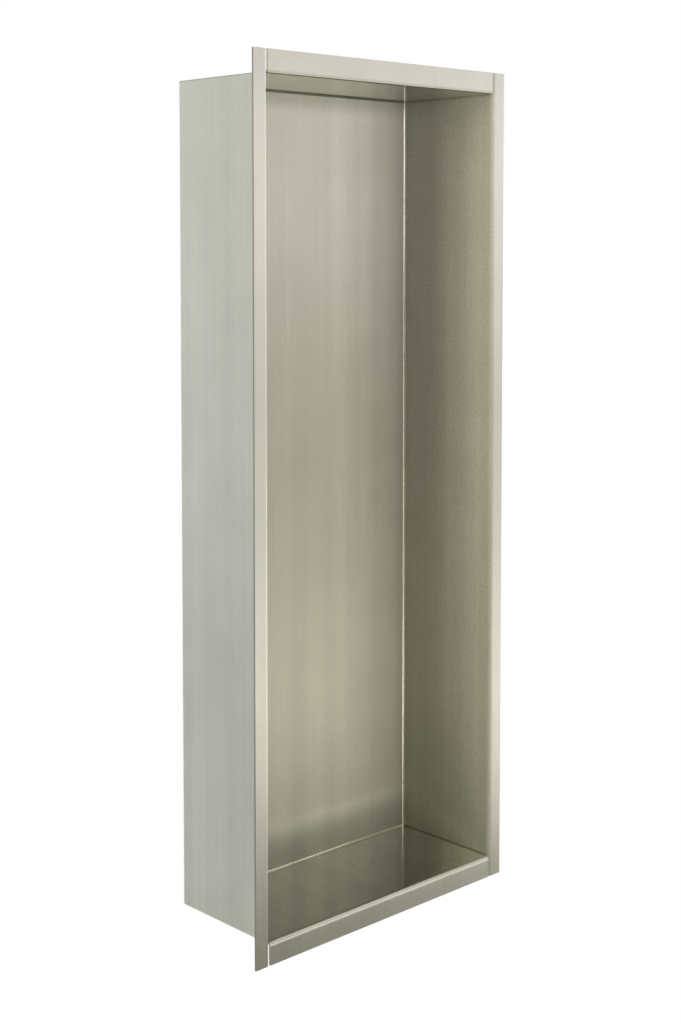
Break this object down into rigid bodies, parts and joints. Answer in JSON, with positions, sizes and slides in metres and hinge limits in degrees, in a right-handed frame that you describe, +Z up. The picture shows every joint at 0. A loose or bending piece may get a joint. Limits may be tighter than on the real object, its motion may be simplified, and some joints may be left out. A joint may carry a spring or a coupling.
{
  "type": "shower niche insert",
  "caption": "Tall shallow box folded from brushed stainless sheet, open at the front, with an outward flange that covers the edge of a tiled wall recess.",
  "frame": {"origin": "centre of the opening, in the plane of the flange's back face, where the flange meets the finished wall", "axes": "+Y into the wall, +Z up, +X to the right seen from the front"},
  "size_m": [0.255, 0.0965, 0.633],
  "materials": {
    "brushed_stainless": "fine brushed grain along the height of the walls, back and side flanges"
  },
  "bodies": {
    "root": {"niche_insert": "brushed_stainless"}
  },
  "joints": []
}
